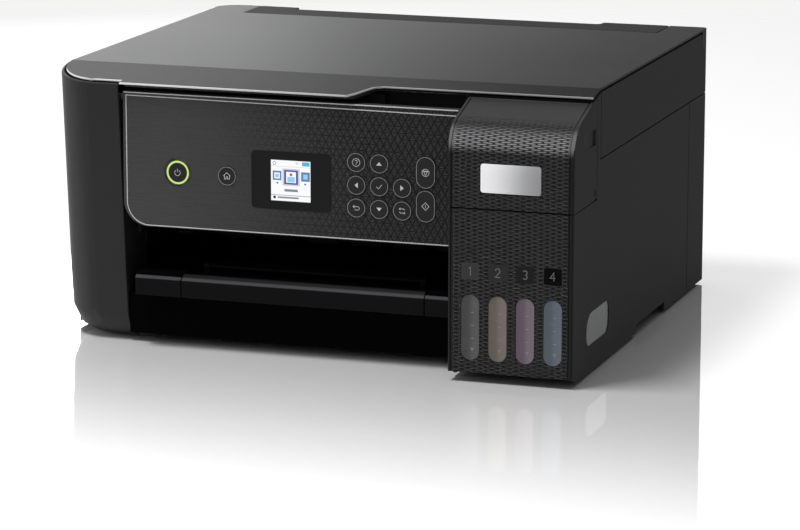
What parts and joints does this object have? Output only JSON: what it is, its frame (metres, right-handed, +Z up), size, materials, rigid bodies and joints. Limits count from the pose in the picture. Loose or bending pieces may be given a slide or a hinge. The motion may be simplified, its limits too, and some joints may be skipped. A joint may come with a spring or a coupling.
{
  "type": "inkjet printer",
  "caption": "Desktop inkjet printer with refillable side tanks, a flatbed scanner under a hinged lid, a tilting front panel, a front output tray and a rear paper feeder.",
  "frame": {"origin": "middle of the footprint on the surface that the feet stand on", "axes": "+X to the right seen from the front, +Y to the rear, +Z up"},
  "size_m": [0.375, 0.347, 0.187],
  "materials": {
    "case_black": "fine satin black plastic",
    "cover_black": "satin black plastic with a moulded pattern",
    "panel_black": "satin black plastic with a moulded lattice",
    "lid_grey": "satin charcoal plastic",
    "inner_black": "dull black plastic",
    "sheet_steel": "plated sheet steel",
    "motor_steel": "drawn steel can",
    "tank_grey": "translucent tank, black ink",
    "tank_beige": "translucent tank, yellow ink",
    "tank_mauve": "translucent tank, magenta ink",
    "tank_blue": "translucent tank, cyan ink",
    "felt": "compressed felt",
    "board_green": "solder-masked circuit board",
    "belt_rubber": "toothed rubber belt",
    "foot_rubber": "moulded rubber",
    "roller_grey": "ground rubber on a steel shaft",
    "cap_black": "satin plastic",
    "cap_yellow": "satin plastic",
    "cap_magenta": "satin plastic",
    "cap_cyan": "satin plastic",
    "scan_glass": "flat clear glass",
    "pad_white": "white foam pad",
    "display_gloss": "gloss black window",
    "button_black": "satin black plastic",
    "badge_silver": "brushed plate",
    "mark_white": "printed mark",
    "ring_green": "lit ring",
    "screen": "lit colour screen"
  },
  "bodies": {
    "base": {"lower_case": "case_black", "left_column": "case_black", "right_side_cover": "case_black", "rear_case": "case_black", "tank_fascia": "case_black", "tank_frame": "inner_black", "paper_guide": "inner_black", "carriage_rail": "sheet_steel", "platen": "inner_black", "ink_tank_black": "tank_grey", "ink_tank_yellow": "tank_beige", "ink_tank_magenta": "tank_mauve", "ink_tank_cyan": "tank_blue", "waste_ink_pad": "felt", "capping_station": "inner_black", "main_board": "board_green", "power_supply": "inner_black", "carriage_motor": "motor_steel", "feed_motor": "motor_steel", "drive_belt": "belt_rubber", "mains_inlet": "inner_black", "usb_port": "sheet_steel", "rubber_feet": "foot_rubber", "exit_guide": "inner_black"},
    "print_carriage": {"print_carriage": "inner_black"},
    "idler_pulley": {"idler_pulley": "roller_grey"},
    "motor_pulley": {"motor_pulley": "motor_steel"},
    "feed_roller": {"feed_roller": "roller_grey"},
    "eject_roller": {"eject_roller": "roller_grey"},
    "pickup_roller": {"pickup_roller": "roller_grey"},
    "edge_guide_left": {"edge_guide_left": "inner_black"},
    "edge_guide_right": {"edge_guide_right": "inner_black"},
    "output_tray": {"output_tray": "case_black"},
    "tray_extension": {"tray_extension": "case_black"},
    "paper_stopper": {"paper_stopper": "case_black"},
    "ink_cover": {"ink_cover": "cover_black"},
    "cap_black": {"cap_black": "cap_black"},
    "cap_yellow": {"cap_yellow": "cap_yellow"},
    "cap_magenta": {"cap_magenta": "cap_magenta"},
    "cap_cyan": {"cap_cyan": "cap_cyan"},
    "scanner_unit": {"scanner_case": "case_black", "scanner_glass": "scan_glass"},
    "sensor_bar": {"sensor_bar": "inner_black"},
    "lid": {"document_cover": "lid_grey", "backing_pad": "pad_white"},
    "paper_support": {"paper_support": "case_black"},
    "control_panel": {"control_panel": "panel_black", "display_window": "display_gloss"},
    "button_power": {"button_power": "button_black"},
    "button_home": {"button_home": "button_black"},
    "button_help": {"button_help": "button_black"},
    "button_up": {"button_up": "button_black"},
    "button_left": {"button_left": "button_black"},
    "button_ok": {"button_ok": "button_black"},
    "button_right": {"button_right": "button_black"},
    "button_back": {"button_back": "button_black"},
    "button_down": {"button_down": "button_black"},
    "button_copies": {"button_copies": "button_black"},
    "button_stop": {"button_stop": "button_black"},
    "button_start": {"button_start": "button_black"}
  },
  "joints": [
    {"name": "scanner_unit_hinge", "type": "hinge", "parent": "base", "child": "scanner_unit", "pos_m": [0, 0.1675, 0.1461], "axis": [-1, 0, 0], "range_deg": [0, 40]},
    {"name": "lid_hinge", "type": "hinge", "parent": "scanner_unit", "child": "lid", "pos_m": [0, 0.167, 0.1795], "axis": [-1, 0, 0], "range_deg": [0, 70]},
    {"name": "sensor_slide", "type": "slide", "parent": "scanner_unit", "child": "sensor_bar", "axis": [1, 0, 0], "range_m": [0, 0.272]},
    {"name": "paper_support_slide", "type": "slide", "parent": "scanner_unit", "child": "paper_support", "axis": [0, 0.2588, 0.9659], "range_m": [0, 0.07]},
    {"name": "panel_tilt", "type": "hinge", "parent": "base", "child": "control_panel", "pos_m": [0, -0.141, 0.169], "axis": [-1, 0, 0], "range_deg": [0, 40]},
    {"name": "press_power", "type": "slide", "parent": "control_panel", "child": "button_power", "axis": [0, 1, 0], "range_m": [0, 0.0008], "stiffness_N_per_m": 400},
    {"name": "press_home", "type": "slide", "parent": "control_panel", "child": "button_home", "axis": [0, 1, 0], "range_m": [0, 0.0008], "stiffness_N_per_m": 400},
    {"name": "press_help", "type": "slide", "parent": "control_panel", "child": "button_help", "axis": [0, 1, 0], "range_m": [0, 0.0008], "stiffness_N_per_m": 400},
    {"name": "press_up", "type": "slide", "parent": "control_panel", "child": "button_up", "axis": [0, 1, 0], "range_m": [0, 0.0008], "stiffness_N_per_m": 400},
    {"name": "press_left", "type": "slide", "parent": "control_panel", "child": "button_left", "axis": [0, 1, 0], "range_m": [0, 0.0008], "stiffness_N_per_m": 400},
    {"name": "press_ok", "type": "slide", "parent": "control_panel", "child": "button_ok", "axis": [0, 1, 0], "range_m": [0, 0.0008], "stiffness_N_per_m": 400},
    {"name": "press_right", "type": "slide", "parent": "control_panel", "child": "button_right", "axis": [0, 1, 0], "range_m": [0, 0.0008], "stiffness_N_per_m": 400},
    {"name": "press_back", "type": "slide", "parent": "control_panel", "child": "button_back", "axis": [0, 1, 0], "range_m": [0, 0.0008], "stiffness_N_per_m": 400},
    {"name": "press_down", "type": "slide", "parent": "control_panel", "child": "button_down", "axis": [0, 1, 0], "range_m": [0, 0.0008], "stiffness_N_per_m": 400},
    {"name": "press_copies", "type": "slide", "parent": "control_panel", "child": "button_copies", "axis": [0, 1, 0], "range_m": [0, 0.0008], "stiffness_N_per_m": 400},
    {"name": "press_stop", "type": "slide", "parent": "control_panel", "child": "button_stop", "axis": [0, 1, 0], "range_m": [0, 0.0008], "stiffness_N_per_m": 400},
    {"name": "press_start", "type": "slide", "parent": "control_panel", "child": "button_start", "axis": [0, 1, 0], "range_m": [0, 0.0008], "stiffness_N_per_m": 400},
    {"name": "tray_slide", "type": "slide", "parent": "base", "child": "output_tray", "axis": [0, -1, 0], "range_m": [0, 0.11]},
    {"name": "extension_slide", "type": "slide", "parent": "output_tray", "child": "tray_extension", "axis": [0, -1, 0], "range_m": [0, 0.08]},
    {"name": "stopper_hinge", "type": "hinge", "parent": "output_tray", "child": "paper_stopper", "pos_m": [-0.0062, -0.1225, 0.053], "axis": [1, 0, 0], "range_deg": [0, 60]},
    {"name": "ink_cover_hinge", "type": "hinge", "parent": "base", "child": "ink_cover", "pos_m": [0, -0.1295, 0.17592], "axis": [-1, 0, 0], "range_deg": [0, 60]},
    {"name": "cap_hinge_black", "type": "hinge", "parent": "base", "child": "cap_black", "pos_m": [0.11865, -0.145, 0.1229], "axis": [-1, 0, 0], "range_deg": [0, 80]},
    {"name": "cap_hinge_yellow", "type": "hinge", "parent": "base", "child": "cap_yellow", "pos_m": [0.13715, -0.145, 0.1229], "axis": [-1, 0, 0], "range_deg": [0, 80]},
    {"name": "cap_hinge_magenta", "type": "hinge", "parent": "base", "child": "cap_magenta", "pos_m": [0.15565, -0.145, 0.1229], "axis": [-1, 0, 0], "range_deg": [0, 80]},
    {"name": "cap_hinge_cyan", "type": "hinge", "parent": "base", "child": "cap_cyan", "pos_m": [0.17415, -0.145, 0.1229], "axis": [-1, 0, 0], "range_deg": [0, 80]},
    {"name": "carriage_slide", "type": "slide", "parent": "base", "child": "print_carriage", "axis": [-1, 0, 0], "range_m": [0, 0.252]},
    {"name": "motor_pulley_spin", "type": "hinge", "parent": "base", "child": "motor_pulley", "pos_m": [-0.16, 0.044, 0.118], "axis": [0, 1, 0], "continuous": true},
    {"name": "idler_pulley_spin", "type": "hinge", "parent": "base", "child": "idler_pulley", "pos_m": [0.16, 0.044, 0.118], "axis": [0, 1, 0], "continuous": true},
    {"name": "feed_roller_spin", "type": "hinge", "parent": "base", "child": "feed_roller", "pos_m": [0, 0.044, 0.058], "axis": [1, 0, 0], "continuous": true},
    {"name": "eject_roller_spin", "type": "hinge", "parent": "base", "child": "eject_roller", "pos_m": [0, -0.032, 0.059], "axis": [1, 0, 0], "continuous": true},
    {"name": "pickup_roller_spin", "type": "hinge", "parent": "base", "child": "pickup_roller", "pos_m": [0, 0.1, 0.086], "axis": [1, 0, 0], "continuous": true},
    {"name": "edge_guide_right_slide", "type": "slide", "parent": "base", "child": "edge_guide_right", "axis": [-1, 0, 0], "range_m": [0, 0.052]},
    {"name": "edge_guide_left_slide", "type": "slide", "parent": "base", "child": "edge_guide_left", "axis": [1, 0, 0], "range_m": [0, 0.052]}
  ],
  "couplings": [
    {"joint": "edge_guide_left_slide", "follows": "edge_guide_right_slide", "ratio": 1},
    {"joint": "eject_roller_spin", "follows": "feed_roller_spin", "ratio": 1.2},
    {"joint": "motor_pulley_spin", "follows": "carriage_slide", "rad_per_m": 166.67},
    {"joint": "idler_pulley_spin", "follows": "carriage_slide", "rad_per_m": 166.67}
  ]
}
